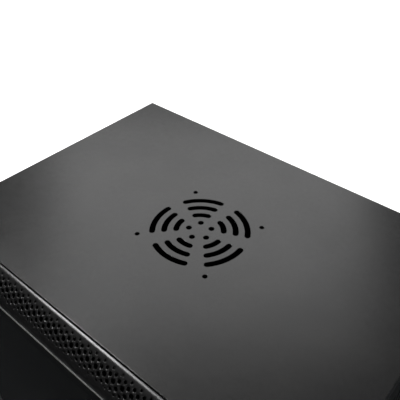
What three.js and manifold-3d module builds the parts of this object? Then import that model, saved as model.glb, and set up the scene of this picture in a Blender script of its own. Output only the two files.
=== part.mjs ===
// Wall-mount rack cabinet, 9 units high: a folded-sheet body with a fan vent in its top, a glass door
// with curved upper and lower borders, lift-off side panels and four adjustable rack rails.
// Millimetres, +Z up. The origin is at the middle of the underside; the door faces -Y.
import * as THREE from "three";
import { mergeVertices } from "three/addons/utils/BufferGeometryUtils.js";
import Module from "manifold-3d";

const wasm = await Module();
wasm.setup();

// Driving dimensions
const WIDTH = 530;
const DEPTH = 400;
const HEIGHT = 501;
const SHEET = 1.5; // thickness of every folded sheet
const GAP = 0.3; // air left between two pieces that touch
const SEAM = 1.5; // visible joint between neighbouring panels
const TRAY_DEPTH = 16; // folded edge of the top and bottom panels

const HALF_WIDTH = WIDTH / 2;
const BACK = DEPTH / 2;
const FRONT = -DEPTH / 2; // the lock's face, the foremost point
const BODY_FRONT = -171.9; // front edge of the top and bottom panels
const FRAME_FRONT = -170.7; // face of the front frame
const BODY_DEPTH = BACK - BODY_FRONT;
const WALL_BOTTOM = TRAY_DEPTH + SEAM; // walls stand between the two trays
const WALL_TOP = HEIGHT - WALL_BOTTOM;

// Fan vent, centred on y = VENT_Y: screw holes for a 120 mm fan around five sectors of curved slots
const VENT_Y = 13;
const FAN_HOLE_SPACING = 105;
const FAN_HOLE_RADIUS = 2.9;
const VENT_SECTORS = 5;
const VENT_SLOT_WIDTH = 7;
const VENT_CENTRE_RADIUS = 14.2; // circle of the five round holes in the middle
const VENT_RINGS = [
  { radius: 28.4, halfAngle: 16.6 },
  { radius: 42.6, halfAngle: 20.9 },
  { radius: 56.8, halfAngle: 23.2 },
];

// Front frame
const POST = 20; // width of the two front posts
const OPENING_BOTTOM = 36;
const OPENING_TOP = HEIGHT - OPENING_BOTTOM;
const FRAME_LIP = 13;
const CORNER_FOLD = 14; // how far posts and back panel fold round on to the sides

// Door
const DOOR_GAP = 1;
const DOOR_BACK = BODY_FRONT - DOOR_GAP;
const DOOR_FRONT = -196; // outer face of the stiles
const DOOR_INSET = 1; // door edge below the top panel's face
const BORDER_RADIUS = 38.8; // curve of the upper and lower borders
const BORDER_SWEEP = 60; // degrees of that curve
const RETURN = 14; // flange round the back of the door
const GLASS = { halfWidth: 235, bottom: 36, top: HEIGHT - 36, thickness: 4, front: -197.5 };
const GLASS_LAND = 14; // width of the ledge behind the glass
const REBATE_MARGIN = 0.8;
const HINGE = { x: -260.2, y: -187.2, radius: 2.2, tabBottom: HEIGHT - 48, tabThickness: 3 };
const PIN = { bottom: HEIGHT - 66, top: HEIGHT - 42 };
const HINGE_BLOCK_BOTTOM = HEIGHT - 61;
const LOCK = { x: 250, z: HEIGHT / 2 };

// Cam locks
const CAM_REACH = 30;
const CAM_WIDTH = 14;
const CAM_THICKNESS = 2;
const BARREL_RADIUS = 8;
const PLUG_RADIUS = 6;
const BEZEL_RADIUS = 11;
const DOOR_BARREL = 27.2;
const SIDE_BARREL = 4;
const SIDE_LOCK = { y: 13, z: HEIGHT - 33 };

// Row of upright slots near the top of each side panel, centred on the lock
const SIDE_SLOTS = { count: 12, pitch: 15, length: 110, width: 5, z: HEIGHT - 116 };

// Rack rails and the slotted braces that carry them
const UNIT = 44.45;
const RAIL_UNITS = 9;
const RAIL_HOLE = 9.5;
const RAIL_HOLE_X = 465.1 / 2;
const RAIL_BOTTOM = 42;
const RAIL_TOP = HEIGHT - RAIL_BOTTOM;
const RAIL_INNER_X = 225.5;
const RAIL_OUTER_X = 247;
const RAIL_SHEET = 2;
const RAIL_DEPTH = 32;
const RAIL_FRONT_Y = -130;
const RAIL_REAR_Y = 150;
const RAIL_BOLT_INSET = 18;
const BRACE_HEIGHT = 22;
const BRACE_LEVELS = [61, HEIGHT - 61];
const BRACE_FLANGE = 7;
const BRACE_SLOT = { length: 90, width: 7 };
const BOLT_RADIUS = 3;

// Cable entries
const BACK_ENTRY = { halfWidth: 110, bottom: HEIGHT - 106, top: HEIGHT - 46 };
const FLOOR_ENTRY = { halfWidth: 120, front: 110, back: 170 };
const COVER = { halfWidth: 126, front: 42, back: 112, tab: 9 }; // slid open
const COVER_TRAVEL = 64;

const COLOURS = {
  paint: { color: 0x242426, roughness: 0.45, metalness: 0.2 },
  glass: { color: 0x0b0d0d, roughness: 0.05, metalness: 0 },
  zinc: { color: 0xb4b6b8, roughness: 0.35, metalness: 0.9 },
  chrome: { color: 0xd0d2d4, roughness: 0.15, metalness: 1 },
  rubber: { color: 0x141414, roughness: 0.9, metalness: 0 },
};
const MATERIALS = Object.fromEntries(
  Object.entries(COLOURS).map(([name, look]) => [name, new THREE.MeshStandardMaterial(look)]),
);

// --- solids -------------------------------------------------------------------------------------

const X = new THREE.Vector3(1, 0, 0);
const Y = new THREE.Vector3(0, 1, 0);
const Z = new THREE.Vector3(0, 0, 1);

/** A closed three.js geometry as a manifold-3d solid. */
function solidOf(geometry) {
  const bare = geometry.clone();
  bare.deleteAttribute("normal");
  bare.deleteAttribute("uv");
  const merged = mergeVertices(bare, 1e-4);
  const vertProperties = merged.attributes.position.array;
  const triVerts = new Uint32Array(merged.index.array);
  return new wasm.Manifold(new wasm.Mesh({ numProp: 3, vertProperties, triVerts }));
}

/** A manifold-3d solid as a three.js geometry. */
function geometryOf(solid) {
  const mesh = solid.getMesh();
  const geometry = new THREE.BufferGeometry();
  const positions = new THREE.BufferAttribute(new Float32Array(mesh.vertProperties), 3);
  geometry.setAttribute("position", positions);
  geometry.setIndex(new THREE.BufferAttribute(new Uint32Array(mesh.triVerts), 1));
  const flat = geometry.toNonIndexed();
  flat.computeVertexNormals();
  return flat;
}

/** A box given by its limits along each axis. */
function box([x0, x1], [y0, y1], [z0, z1]) {
  const geometry = new THREE.BoxGeometry(x1 - x0, y1 - y0, z1 - z0);
  geometry.translate((x0 + x1) / 2, (y0 + y1) / 2, (z0 + z1) / 2);
  return solidOf(geometry);
}

/** A cylinder along Z. */
function rod(radius, z0, z1, x = 0, y = 0, sides = 20) {
  const geometry = new THREE.CylinderGeometry(radius, radius, z1 - z0, sides);
  geometry.rotateX(Math.PI / 2);
  geometry.translate(x, y, (z0 + z1) / 2);
  return solidOf(geometry);
}

/** An outline drawn in X and Y, raised from z0 to z1. */
function raise(shape, z0, z1, curveSegments = 8) {
  const settings = { depth: z1 - z0, bevelEnabled: false, curveSegments };
  const geometry = new THREE.ExtrudeGeometry(shape, settings);
  geometry.translate(0, 0, z0);
  return solidOf(geometry);
}

/** An outline drawn in Y and Z, drawn out along X from x0 to x1. */
function alongX(shape, x0, x1, curveSegments = 12) {
  const settings = { depth: x1 - x0, bevelEnabled: false, curveSegments };
  const geometry = new THREE.ExtrudeGeometry(shape, settings);
  geometry.applyMatrix4(new THREE.Matrix4().makeBasis(Y, Z, X));
  geometry.translate(x0, 0, 0);
  return solidOf(geometry);
}

/** An outline drawn in X and Z, reaching from y0 to y1. */
function alongY(shape, y0, y1, curveSegments = 3) {
  const settings = { depth: y1 - y0, bevelEnabled: false, curveSegments };
  const geometry = new THREE.ExtrudeGeometry(shape, settings);
  geometry.rotateX(Math.PI / 2);
  geometry.translate(0, y1, 0);
  return solidOf(geometry);
}

/** One solid less several others. */
function cut(solid, cutters) {
  return cutters.reduce((left, cutter) => left.subtract(cutter), solid);
}

/** Several solids joined into one. */
function join(solids) {
  return solids.reduce((whole, solid) => whole.add(solid));
}

/** A slot outline with round ends: horizontal or vertical, centred on (u, v). */
function slotShape(u, v, length, width, upright) {
  const r = width / 2;
  const reach = length / 2 - r;
  const turn = upright ? Math.PI / 2 : 0;
  const du = upright ? 0 : reach;
  const dv = upright ? reach : 0;
  const shape = new THREE.Shape();
  shape.absarc(u + du, v + dv, r, turn - Math.PI / 2, turn + Math.PI / 2);
  shape.absarc(u - du, v - dv, r, turn + Math.PI / 2, turn + (3 * Math.PI) / 2);
  return shape;
}

/** A named mesh for the assembly. */
function part(name, solid, look) {
  const mesh = new THREE.Mesh(geometryOf(solid), MATERIALS[look]);
  mesh.name = name;
  return mesh;
}

/** A group holding some meshes, placed at a point. */
function assembly(children, position = [0, 0, 0]) {
  const group = new THREE.Group();
  group.add(...children);
  group.position.set(...position);
  return group;
}

// --- body ---------------------------------------------------------------------------------------

/** A folded tray the size of the body's plan, its floor at z = 0 and its edges folded up. */
function tray() {
  const inner = HALF_WIDTH - SHEET;
  const outside = box([-HALF_WIDTH, HALF_WIDTH], [BODY_FRONT, BACK], [0, TRAY_DEPTH]);
  const inside = box([-inner, inner], [BODY_FRONT + SHEET, BACK - SHEET], [SHEET, TRAY_DEPTH + 1]);
  return outside.subtract(inside);
}

/** A curved slot of the fan vent, centred on the given direction. */
function ventSlotShape(radius, halfAngle, direction) {
  const from = THREE.MathUtils.degToRad(direction - halfAngle);
  const to = THREE.MathUtils.degToRad(direction + halfAngle);
  const half = VENT_SLOT_WIDTH / 2;
  const shape = new THREE.Shape();
  shape.absarc(0, 0, radius + half, from, to);
  shape.absarc(radius * Math.cos(to), radius * Math.sin(to), half, to, to + Math.PI);
  shape.absarc(0, 0, radius - half, to, from, true);
  shape.absarc(radius * Math.cos(from), radius * Math.sin(from), half, from + Math.PI, from + 2 * Math.PI);
  return shape;
}

/** Cutters for the fan vent, centred on the Z axis and through a sheet at z = 0 to SHEET. */
function ventCutters() {
  const cutters = [];
  for (let sector = 0; sector < VENT_SECTORS; sector += 1) {
    const direction = -90 + (sector * 360) / VENT_SECTORS;
    for (const { radius, halfAngle } of VENT_RINGS) {
      cutters.push(raise(ventSlotShape(radius, halfAngle, direction), -1, SHEET + 1, 4));
    }
    const angle = THREE.MathUtils.degToRad(direction);
    const x = VENT_CENTRE_RADIUS * Math.cos(angle);
    const y = VENT_CENTRE_RADIUS * Math.sin(angle);
    cutters.push(rod(VENT_SLOT_WIDTH / 2, -1, SHEET + 1, x, y, 12));
  }
  for (const sx of [-1, 1]) {
    for (const sy of [-1, 1]) {
      const x = (sx * FAN_HOLE_SPACING) / 2;
      const y = (sy * FAN_HOLE_SPACING) / 2;
      cutters.push(rod(FAN_HOLE_RADIUS, -1, SHEET + 1, x, y, 12));
    }
  }
  return cutters;
}

function topPanel() {
  const vented = cut(tray(), ventCutters().map((cutter) => cutter.translate([0, VENT_Y, 0])));
  const mesh = part("top_panel", vented, "paint");
  mesh.scale.z = -1; // the same tray, turned floor up
  mesh.position.z = HEIGHT;
  return mesh;
}

function bottomPanel() {
  const { halfWidth, front, back } = FLOOR_ENTRY;
  const entry = box([-halfWidth, halfWidth], [front, back], [-1, SHEET + 1]);
  return part("bottom_panel", cut(tray(), [entry]), "paint");
}

/** A keyhole for a wall screw: a round entry with a narrower slot above it. */
function keyhole(x, z) {
  const entry = new THREE.Shape();
  entry.absarc(x, z, 6, 0, 2 * Math.PI);
  const neck = slotShape(x, z + 7, 18, 7, true);
  const through = [BACK - SHEET - 1, BACK + 1];
  return alongY(entry, ...through).add(alongY(neck, ...through));
}

function backPanel() {
  const inner = HALF_WIDTH - SHEET;
  const walls = [WALL_BOTTOM, WALL_TOP];
  const outside = box([-HALF_WIDTH, HALF_WIDTH], [BACK - CORNER_FOLD, BACK], walls);
  const inside = box([-inner, inner], [0, BACK - SHEET], [0, HEIGHT]);
  const { halfWidth, bottom, top } = BACK_ENTRY;
  const entry = box([-halfWidth, halfWidth], [BACK - SHEET - 1, BACK + 1], [bottom, top]);
  const keyholes = [-200, 200].flatMap((x) => [70, HEIGHT - 68].map((z) => keyhole(x, z)));
  return part("back_panel", cut(outside, [inside, entry, ...keyholes]), "paint");
}

/** A hinge tab welded to the front frame: a flat ear with a hole for the hinge pin. */
function hingeTab(bottom) {
  const end = HINGE.y - 5.2;
  const plate = [bottom, bottom + HINGE.tabThickness];
  const ear = box([HINGE.x - 3, HINGE.x + 5.5], [end, FRAME_FRONT + SHEET / 2], plate);
  return ear.subtract(rod(HINGE.radius + 0.15, 0, HEIGHT, HINGE.x, HINGE.y, 16));
}

function frontFrame() {
  const inner = HALF_WIDTH - SHEET;
  const opening = HALF_WIDTH - POST;
  const walls = [WALL_BOTTOM, WALL_TOP];
  const face = [FRAME_FRONT, FRAME_FRONT + SHEET];
  const back = BODY_FRONT + CORNER_FOLD;
  const lipBack = FRAME_FRONT + FRAME_LIP;
  const shell = cut(box([-HALF_WIDTH, HALF_WIDTH], [FRAME_FRONT, back], walls), [
    box([-inner, inner], [face[1], back + 1], [0, HEIGHT]),
  ]);
  const lip = box(
    [-opening - SHEET, opening + SHEET],
    [FRAME_FRONT, lipBack],
    [OPENING_BOTTOM - SHEET, OPENING_TOP + SHEET],
  );
  const window = box([-opening, opening], [FRONT, 0], [OPENING_BOTTOM, OPENING_TOP]);
  const camSlot = box([LOCK.x - 9, LOCK.x + 9], [FRONT, 0], [LOCK.z - 9, LOCK.z + 9]);
  const lipNotch = box(
    [opening - 1, opening + SHEET + 1],
    [face[1], FRAME_FRONT + 8],
    [LOCK.z - 12, LOCK.z + CAM_REACH + 4],
  );
  const tabs = [hingeTab(HINGE.tabBottom), hingeTab(HEIGHT - HINGE.tabBottom - HINGE.tabThickness)];
  const frame = cut(join([shell, lip]), [window, camSlot, lipNotch]);
  return part("front_frame", join([frame, ...tabs]), "paint");
}

/** A slotted channel along the right-hand side, centred on z = 0. */
function braceSolid() {
  const web = [RAIL_OUTER_X + GAP, RAIL_OUTER_X + GAP + RAIL_SHEET];
  const half = BRACE_HEIGHT / 2;
  const run = [FRAME_FRONT + SHEET + GAP, BACK - SHEET - GAP];
  const whole = box([web[0], web[0] + BRACE_FLANGE], run, [-half, half]);
  const hollow = box([web[1], HALF_WIDTH], [-DEPTH, DEPTH], [RAIL_SHEET - half, half - RAIL_SHEET]);
  const bolts = [RAIL_FRONT_Y + RAIL_BOLT_INSET, RAIL_REAR_Y - RAIL_BOLT_INSET];
  const { length, width } = BRACE_SLOT;
  const slots = bolts.map((y) => alongX(slotShape(y, 0, length, width, false), 200, 260, 4));
  return cut(whole, [hollow, ...slots]);
}

/** A rack rail on the right-hand side, its face at y = 0 and its web running back. */
function railSolid() {
  const face = box([RAIL_INNER_X, RAIL_OUTER_X], [0, RAIL_SHEET], [RAIL_BOTTOM, RAIL_TOP]);
  const web = box([RAIL_OUTER_X - RAIL_SHEET, RAIL_OUTER_X], [0, RAIL_DEPTH], [RAIL_BOTTOM, RAIL_TOP]);
  const half = RAIL_HOLE / 2;
  const unitOffsets = [6.35, 22.225, 38.1]; // the three holes of each rack unit
  const base = HEIGHT / 2 - (RAIL_UNITS * UNIT) / 2;
  const holes = [];
  for (let unit = 0; unit < RAIL_UNITS; unit += 1) {
    for (const offset of unitOffsets) {
      const z = base + unit * UNIT + offset;
      holes.push(box([RAIL_HOLE_X - half, RAIL_HOLE_X + half], [-1, RAIL_SHEET + 1], [z - half, z + half]));
    }
  }
  const boltHoles = BRACE_LEVELS.map((z) =>
    alongX(slotShape(RAIL_BOLT_INSET, z, 2 * BOLT_RADIUS + 1, 2 * BOLT_RADIUS + 0.8, false), 240, 250, 4),
  );
  return cut(face.add(web), [...holes, ...boltHoles]);
}

/** A rail bolt along X: its head inside the rail's web and its shank through the brace. */
function boltSolid() {
  const headBack = RAIL_OUTER_X - RAIL_SHEET - GAP;
  const head = rod(6, headBack - 3.5, headBack, 0, 0, 16);
  const shank = rod(BOLT_RADIUS, headBack - 1, RAIL_OUTER_X + 8, 0, 0, 12);
  const socket = rod(2.4, headBack - 5, headBack - 1.8, 0, 0, 6);
  return head.add(shank).subtract(socket);
}

/** One rail with its two bolts. side is 1 for right and -1 for left; end is 1 for front and -1 for rear. */
function railAssembly(name, side, end) {
  const rail = part(`rack_rail_${name}`, railSolid(), "paint");
  const bolts = ["lower", "upper"].map((level, i) => {
    const bolt = part(`rail_bolt_${name}_${level}`, boltSolid(), "zinc");
    bolt.rotation.y = Math.PI / 2;
    bolt.position.set(0, RAIL_BOLT_INSET, BRACE_LEVELS[i]);
    return bolt;
  });
  const group = assembly([rail, ...bolts], [0, end > 0 ? RAIL_FRONT_Y : RAIL_REAR_Y, 0]);
  group.scale.set(side, end, 1);
  return group;
}

function braces() {
  return ["lower", "upper"].flatMap((level, i) =>
    [["left", -1], ["right", 1]].map(([hand, side]) => {
      const brace = part(`side_brace_${level}_${hand}`, braceSolid(), "paint");
      brace.scale.x = side;
      brace.position.z = BRACE_LEVELS[i];
      return brace;
    }),
  );
}

/** The sliding cover of the floor's cable entry, with a folded finger tab along its front. */
function cableCover() {
  const { halfWidth, front, back, tab } = COVER;
  const low = SHEET + GAP;
  const plate = box([-halfWidth, halfWidth], [front, back], [low, low + SHEET]);
  const pull = box([-40, 40], [front, front + SHEET], [low, low + tab]);
  return part("cable_cover", join([plate, pull]), "paint");
}

/** A guide strip that holds down one edge of the sliding cover. */
function coverGuide(hand, side) {
  const run = [COVER.front - 6, COVER.back + COVER_TRAVEL + 2];
  const low = SHEET + GAP;
  const wall = box([COVER.halfWidth + 0.5, COVER.halfWidth + 4.5], run, [low, low + 3.8]);
  const lip = box([COVER.halfWidth - 4, COVER.halfWidth + 4.5], run, [low + SHEET + 0.5, low + 3.8]);
  const guide = part(`cover_guide_${hand}`, join([wall, lip]), "paint");
  guide.scale.x = side;
  return guide;
}

function earthStud() {
  const low = SHEET + GAP;
  const stud = part("earth_stud", join([rod(3, low, low + 18), rod(6, low, low + 1.5)]), "zinc");
  const nut = part("earth_nut", cut(rod(5.8, low + 3, low + 8, 0, 0, 6), [rod(3.3, 0, 20)]), "zinc");
  return assembly([stud, nut], [-225, 178, 0]);
}

/** The rubber stops that the closed door rests against. */
function bumpers() {
  return ["lower", "upper"].map((level, i) => {
    const thickness = FRAME_FRONT - DOOR_BACK - 2 * GAP;
    const bumper = part(`door_bumper_${level}`, rod(5, 0, thickness, 0, 0, 16), "rubber");
    bumper.rotation.x = Math.PI / 2;
    bumper.position.set(256, FRAME_FRONT - GAP, i ? HEIGHT - 70 : 70);
    return bumper;
  });
}

// --- cam locks ----------------------------------------------------------------------------------

/** A cam lock with its panel's face at z = 0, its barrel going to -Z and its cam turned from +Y. */
function camLock(name, barrel, proud, camTurn) {
  const bezelFace = 2.6;
  const housing = join([
    rod(BEZEL_RADIUS, GAP, bezelFace),
    rod(BARREL_RADIUS, -barrel, GAP + 0.5),
  ]).subtract(rod(PLUG_RADIUS + GAP, -barrel - 1, proud + 1));
  const keyway = box([-1.1, 1.1], [-4, 4], [proud - 5, proud + 1]);
  const plug = cut(rod(PLUG_RADIUS, -barrel, proud), [keyway]);
  const camTop = -barrel - GAP;
  const outline = new THREE.Shape();
  outline.absarc(0, 0, CAM_WIDTH / 2, Math.PI, 2 * Math.PI);
  outline.absarc(0, CAM_REACH - CAM_WIDTH / 2, CAM_WIDTH / 2, 0, Math.PI);
  const cam = raise(outline, camTop - CAM_THICKNESS, camTop, 6).rotate([0, 0, camTurn]);
  const screw = rod(4, camTop - CAM_THICKNESS - GAP - 2, camTop - CAM_THICKNESS - GAP, 0, 0, 16);
  return [
    part(`${name}_housing`, housing, "chrome"),
    part(`${name}_plug`, plug, "chrome"),
    part(`${name}_cam`, cam, "zinc"),
    part(`${name}_cam_screw`, screw, "zinc"),
  ];
}

// --- side panels --------------------------------------------------------------------------------

function sidePanelSolid() {
  const run = [BODY_FRONT + CORNER_FOLD + SEAM, BACK - CORNER_FOLD - SEAM];
  const walls = [WALL_BOTTOM, WALL_TOP];
  const foldDepth = 10;
  const outside = box([HALF_WIDTH - foldDepth, HALF_WIDTH], run, walls);
  const inside = box(
    [0, HALF_WIDTH - SHEET],
    [run[0] + SHEET, run[1] - SHEET],
    [walls[0] + SHEET, walls[1] - SHEET],
  );
  const lockHole = alongX(circleShape(SIDE_LOCK.y, SIDE_LOCK.z, BARREL_RADIUS + GAP), 262, 270, 12);
  const camSweep = [SIDE_LOCK.y - 10, SIDE_LOCK.y + CAM_REACH + 2];
  const camNotch = box([250, HALF_WIDTH - SHEET], camSweep, [HEIGHT - 23, HEIGHT]);
  const slots = [];
  const { count, pitch, length, width, z } = SIDE_SLOTS;
  for (let i = 0; i < count; i += 1) {
    const y = SIDE_LOCK.y + (i - (count - 1) / 2) * pitch;
    slots.push(alongX(slotShape(y, z, length, width, true), 250, 270, 2));
  }
  return cut(outside, [inside, lockHole, camNotch, ...slots]);
}

/** A circle outline. */
function circleShape(u, v, radius) {
  const shape = new THREE.Shape();
  shape.absarc(u, v, radius, 0, 2 * Math.PI);
  return shape;
}

function sideAssembly(hand, side) {
  const panel = part(`side_panel_${hand}`, sidePanelSolid(), "paint");
  const lock = assembly(camLock(`side_lock_${hand}`, SIDE_BARREL, 3, 0), [
    HALF_WIDTH,
    SIDE_LOCK.y,
    SIDE_LOCK.z,
  ]);
  lock.rotation.y = Math.PI / 2;
  const group = assembly([panel, lock]);
  group.scale.x = side;
  return group;
}

// --- door ---------------------------------------------------------------------------------------

/** The door's side outline in Y and Z, drawn in by inset: each border is a tight shoulder, then a long curve. */
function doorOutline(inset) {
  const sweep = THREE.MathUtils.degToRad(BORDER_SWEEP);
  const tilt = Math.PI / 2 - sweep;
  const centreY = DOOR_FRONT + BORDER_RADIUS;
  const shoulder = (DOOR_BACK - centreY + BORDER_RADIUS * Math.cos(sweep)) / Math.sin(tilt);
  const top = HEIGHT - DOOR_INSET;
  const shoulderZ = top - shoulder;
  const centreZ = shoulderZ + shoulder * Math.cos(tilt) - BORDER_RADIUS * Math.sin(sweep);
  const down = (3 * Math.PI) / 2;
  const shape = new THREE.Shape();
  shape.moveTo(0, top - inset);
  shape.lineTo(DOOR_BACK, top - inset);
  shape.absarc(DOOR_BACK, shoulderZ, shoulder - inset, Math.PI / 2, Math.PI / 2 + tilt);
  shape.absarc(centreY, centreZ, BORDER_RADIUS - inset, Math.PI - sweep, Math.PI);
  shape.absarc(centreY, HEIGHT - centreZ, BORDER_RADIUS - inset, Math.PI, Math.PI + sweep);
  shape.absarc(DOOR_BACK, HEIGHT - shoulderZ, shoulder - inset, down - tilt, down);
  shape.lineTo(0, HEIGHT - top + inset);
  return shape;
}

/** Notches that let the door swing round the two hinge tabs. */
function hingeNotches() {
  const clearance = 3;
  const bottoms = [HINGE.tabBottom, HEIGHT - HINGE.tabBottom - HINGE.tabThickness];
  return bottoms.map((bottom) =>
    box(
      [-HALF_WIDTH - 1, HINGE.x + 9.5],
      [DOOR_FRONT + 1.8, DOOR_BACK + 1],
      [bottom - clearance, bottom + HINGE.tabThickness + clearance],
    ),
  );
}

function doorFrame() {
  const inner = HALF_WIDTH - SHEET;
  const behind = box([-WIDTH, WIDTH], [DOOR_BACK, DEPTH], [-10, HEIGHT + 10]);
  const outside = alongX(doorOutline(0), -HALF_WIDTH, HALF_WIDTH).subtract(behind);
  const inside = alongX(doorOutline(SHEET), -inner, inner);
  const rebateX = GLASS.halfWidth + REBATE_MARGIN;
  const rebateZ = [GLASS.bottom - REBATE_MARGIN, GLASS.top + REBATE_MARGIN];
  const landFace = GLASS.front + GLASS.thickness + 3.7 * GAP;
  const land = box(
    [-rebateX - SHEET, rebateX + SHEET],
    [DOOR_FRONT, landFace + SHEET],
    [rebateZ[0] - SHEET, rebateZ[1] + SHEET],
  );
  const rebate = box([-rebateX, rebateX], [FRONT - 10, landFace], rebateZ);
  const window = box(
    [GLASS_LAND - GLASS.halfWidth, GLASS.halfWidth - GLASS_LAND],
    [FRONT - 10, 0],
    [GLASS.bottom + GLASS_LAND, GLASS.top - GLASS_LAND],
  );
  const flange = box([-inner, inner], [DOOR_BACK - SHEET, DOOR_BACK], [DOOR_INSET + 1, HEIGHT - DOOR_INSET - 1])
    .subtract(box([RETURN - inner, inner - RETURN], [-DEPTH, 0], [RETURN, HEIGHT - RETURN]));
  const lockHole = rod(BARREL_RADIUS + GAP, 0, 60).rotate([90, 0, 0]).translate([LOCK.x, -140, LOCK.z]);
  const shell = join([outside.subtract(inside), land, flange]);
  return part("door_frame", cut(shell, [rebate, window, lockHole, ...hingeNotches()]), "paint");
}

function glassPane() {
  const { halfWidth, bottom, top, thickness, front } = GLASS;
  return part("glass_pane", box([-halfWidth, halfWidth], [front, front + thickness], [bottom, top]), "glass");
}

/** The bonding tape between the glass and its ledge. */
function glassTape() {
  const { halfWidth, bottom, top, thickness, front } = GLASS;
  const face = front + thickness + GAP;
  const margin = 1.5;
  const width = 9;
  const ring = box([margin - halfWidth, halfWidth - margin], [face, face + 0.5], [bottom + margin, top - margin]);
  const hole = box(
    [margin + width - halfWidth, halfWidth - margin - width],
    [-DEPTH, 0],
    [bottom + margin + width, top - margin - width],
  );
  return part("glass_tape", ring.subtract(hole), "rubber");
}

/** The block inside the door that carries a hinge pin, for the upper hinge. */
function hingeBlock() {
  const levels = [HINGE_BLOCK_BOTTOM, HINGE.tabBottom - GAP];
  const block = box([HINGE.x - 3, HINGE.x + 7], [HINGE.y - 7, HINGE.y + 6], levels);
  return block.subtract(rod(HINGE.radius + GAP, 0, HEIGHT, HINGE.x, HINGE.y, 16));
}

/** A hinge pin for the upper hinge, with its release lever below the block. */
function hingePin() {
  const pin = rod(HINGE.radius, PIN.bottom, PIN.top, HINGE.x, HINGE.y, 16);
  const lever = box([HINGE.x, HINGE.x + 16], [HINGE.y - 2, HINGE.y + 2], [PIN.bottom, PIN.bottom + 3.5]);
  return pin.add(lever);
}

function hinges() {
  return ["upper", "lower"].flatMap((level) => {
    const block = part(`hinge_block_${level}`, hingeBlock(), "zinc");
    const pin = part(`hinge_pin_${level}`, hingePin(), "zinc");
    const group = assembly([block, pin]);
    if (level === "lower") {
      group.scale.z = -1;
      group.position.z = HEIGHT;
    }
    return group;
  });
}

function door() {
  const lock = assembly(camLock("door_lock", DOOR_BARREL, DOOR_FRONT - FRONT, 90), [
    LOCK.x,
    DOOR_FRONT,
    LOCK.z,
  ]);
  lock.rotation.x = Math.PI / 2;
  return assembly([doorFrame(), glassPane(), glassTape(), ...hinges(), lock]);
}

// --- the cabinet --------------------------------------------------------------------------------

const body = assembly([
  topPanel(),
  bottomPanel(),
  backPanel(),
  frontFrame(),
  ...braces(),
  ...bumpers(),
  coverGuide("left", -1),
  coverGuide("right", 1),
  cableCover(),
  earthStud(),
]);

const rails = assembly([
  railAssembly("front_left", -1, 1),
  railAssembly("front_right", 1, 1),
  railAssembly("rear_left", -1, -1),
  railAssembly("rear_right", 1, -1),
]);

const cabinet = assembly([body, rails, door(), sideAssembly("left", -1), sideAssembly("right", 1)]);
cabinet.name = "rack_cabinet";

export default cabinet;
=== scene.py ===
"""Wall-mount rack cabinet: a satin black sheet-metal body with a fan vent in its top and a smoked-glass door
whose curved borders are perforated. Metres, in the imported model's frame: +Z up, the door faces -Y."""

import math

import bmesh
import bpy
from mathutils import Euler, Matrix, Vector
from mathutils.geometry import delaunay_2d_cdt


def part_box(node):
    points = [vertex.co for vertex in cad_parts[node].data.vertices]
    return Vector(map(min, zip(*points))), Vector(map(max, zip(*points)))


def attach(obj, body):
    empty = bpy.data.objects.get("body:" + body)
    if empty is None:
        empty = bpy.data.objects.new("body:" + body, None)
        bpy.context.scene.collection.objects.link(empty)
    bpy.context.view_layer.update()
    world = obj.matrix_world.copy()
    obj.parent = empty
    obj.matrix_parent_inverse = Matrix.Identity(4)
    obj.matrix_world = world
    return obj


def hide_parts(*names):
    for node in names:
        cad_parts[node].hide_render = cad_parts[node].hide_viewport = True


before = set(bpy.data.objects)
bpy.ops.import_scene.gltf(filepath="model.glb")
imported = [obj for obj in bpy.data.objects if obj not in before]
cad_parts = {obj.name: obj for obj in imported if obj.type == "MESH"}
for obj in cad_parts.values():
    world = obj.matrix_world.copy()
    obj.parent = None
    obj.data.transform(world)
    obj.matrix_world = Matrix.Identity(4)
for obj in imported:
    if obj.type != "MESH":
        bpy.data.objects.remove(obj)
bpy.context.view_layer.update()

# Driving sizes, in metres
MM = 0.001
SHEET = 1.5 * MM
BEND = 0.8 * MM  # outer radius of the folded edges
RIM = 0.25 * MM  # rounding of the cut edges
TRAY_DEPTH = 16 * MM
SIDE_FOLD = 10 * MM
FLOOR_ENTRY = (120 * MM, 110 * MM, 170 * MM)  # half width, front edge, back edge
BACK_ENTRY = (110 * MM, 88.5 * MM, 28.5 * MM)  # half width, its edges below the panel's top

# Fan vent
VENT_SECTORS = 5
VENT_SLOT = 7 * MM
VENT_CENTRE_RADIUS = 14.2 * MM
VENT_RINGS = ((28.4 * MM, 16.6), (42.6 * MM, 20.9), (56.8 * MM, 23.2))  # radius, half angle in degrees
VENT_Y = 13 * MM
FAN_HOLE_OFFSET = 52.5 * MM
FAN_HOLE_RADIUS = 2.9 * MM

# Side panels
SLOT_COUNT = 12
SLOT_PITCH = 15 * MM
SLOT_LENGTH = 110 * MM
SLOT_WIDTH = 5 * MM
SLOT_DROP = 98.5 * MM  # from the panel's top edge to the middle of its slots
CAM_GAP = (-10 * MM, 32 * MM)  # gap in the upper fold for the cam's sweep, from the lock's middle

# Locks
LOCK_HOLE = 8.4 * MM  # radius
BEZEL_HEIGHT = 2.6 * MM
PLUG_RADIUS = 6 * MM

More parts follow.
